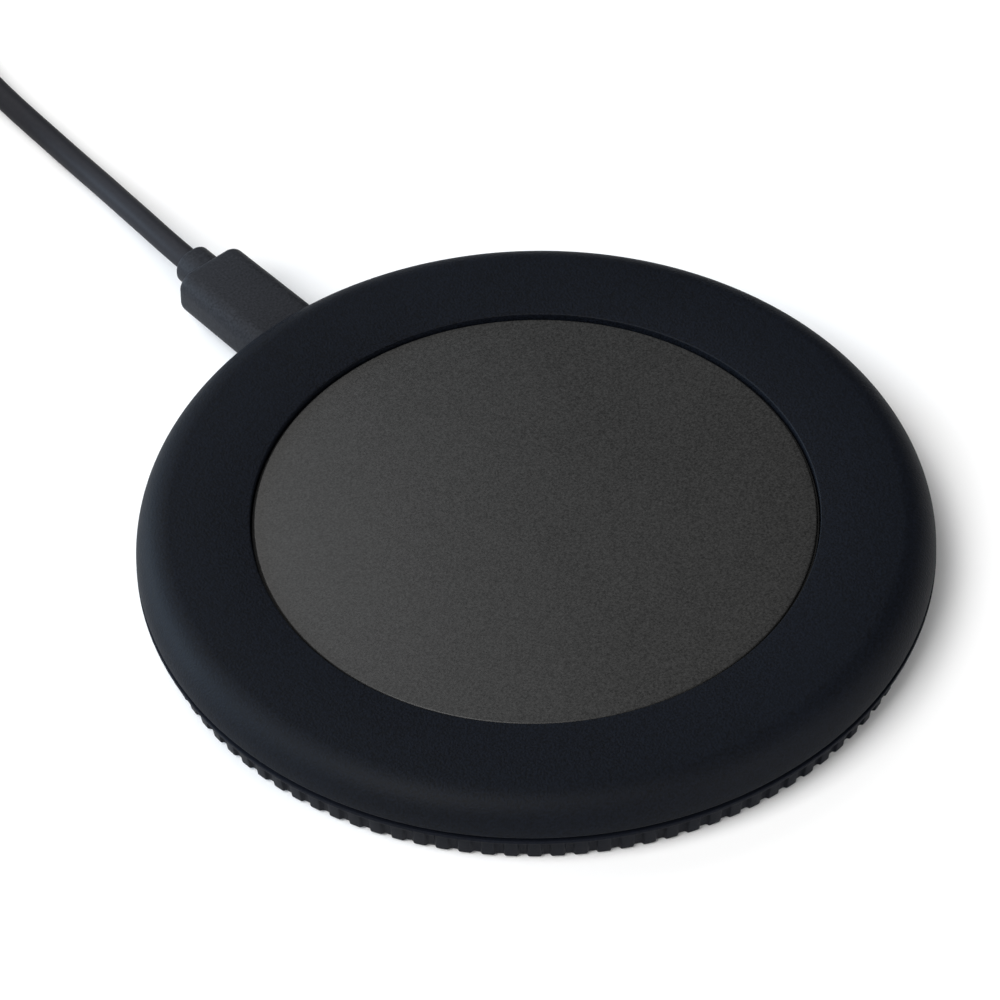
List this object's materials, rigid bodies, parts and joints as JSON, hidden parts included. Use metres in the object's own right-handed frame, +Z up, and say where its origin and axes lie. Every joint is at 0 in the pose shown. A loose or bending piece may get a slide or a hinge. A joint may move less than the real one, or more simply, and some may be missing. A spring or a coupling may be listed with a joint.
{
  "type": "wireless charging pad",
  "caption": "Round low charging pad with a soft dark skin ring, a sunk charcoal centre plate and a ribbed base; its USB cable plugs into the back and lies coiled beside it.",
  "frame": {"origin": "middle of the plane that the pad stands on, under the centre of its disc", "axes": "+Z up out of the charging face; +Y out through the cable's port; +X completes the right-handed frame"},
  "size_m": [0.1, 0.2452, 0.01],
  "materials": {
    "silicone_skin": "soft matte silicone",
    "plate": "fine matte grain",
    "housing": "satin moulded",
    "foot_rubber": "matte",
    "steel": "bright nickel plated",
    "copper": "enamelled winding",
    "ferrite": "pressed sheet",
    "carrier_plastic": "moulded",
    "board": "solder mask",
    "chip": "moulded",
    "ceramic": "fired",
    "cord_jacket": "satin jacket",
    "plug_mould": "fine moulded grain",
    "contact_block": "moulded",
    "tie_band": "woven nylon"
  },
  "bodies": {
    "pad": {"top_skin": "silicone_skin", "centre_plate": "plate", "upper_housing": "housing", "lower_housing": "housing", "foot_ring": "foot_rubber", "transmit_coil": "copper", "coil_lead_inner": "copper", "coil_lead_outer": "copper", "ferrite_shield": "ferrite", "coil_carrier": "carrier_plastic", "thermistor": "chip", "circuit_board": "board", "receptacle_shell": "steel", "receptacle_insulator": "contact_block", "controller_chip": "chip", "bridge_chip_1": "chip", "bridge_chip_2": "chip", "power_inductor": "chip", "input_capacitor": "ceramic", "housing_screw_1": "steel", "resonant_capacitor_1": "ceramic", "housing_screw_2": "steel", "resonant_capacitor_2": "ceramic", "housing_screw_3": "steel", "resonant_capacitor_3": "ceramic", "housing_screw_4": "steel", "resonant_capacitor_4": "ceramic"},
    "usb_cable": {"plug_shell": "steel", "plug_insulator": "contact_block", "plug_overmold": "plug_mould", "plug_collar": "plug_mould", "cord_lead": "cord_jacket", "cord_coil": "cord_jacket", "cord_tie": "tie_band", "cord_tail": "cord_jacket", "far_plug_collar": "plug_mould", "far_plug_overmold": "plug_mould", "far_plug_shell": "steel", "far_plug_insulator": "contact_block"}
  },
  "joints": [
    {"name": "plug_pull", "type": "slide", "parent": "pad", "child": "usb_cable", "axis": [0, 1, 0], "range_m": [0, 0.012]}
  ]
}
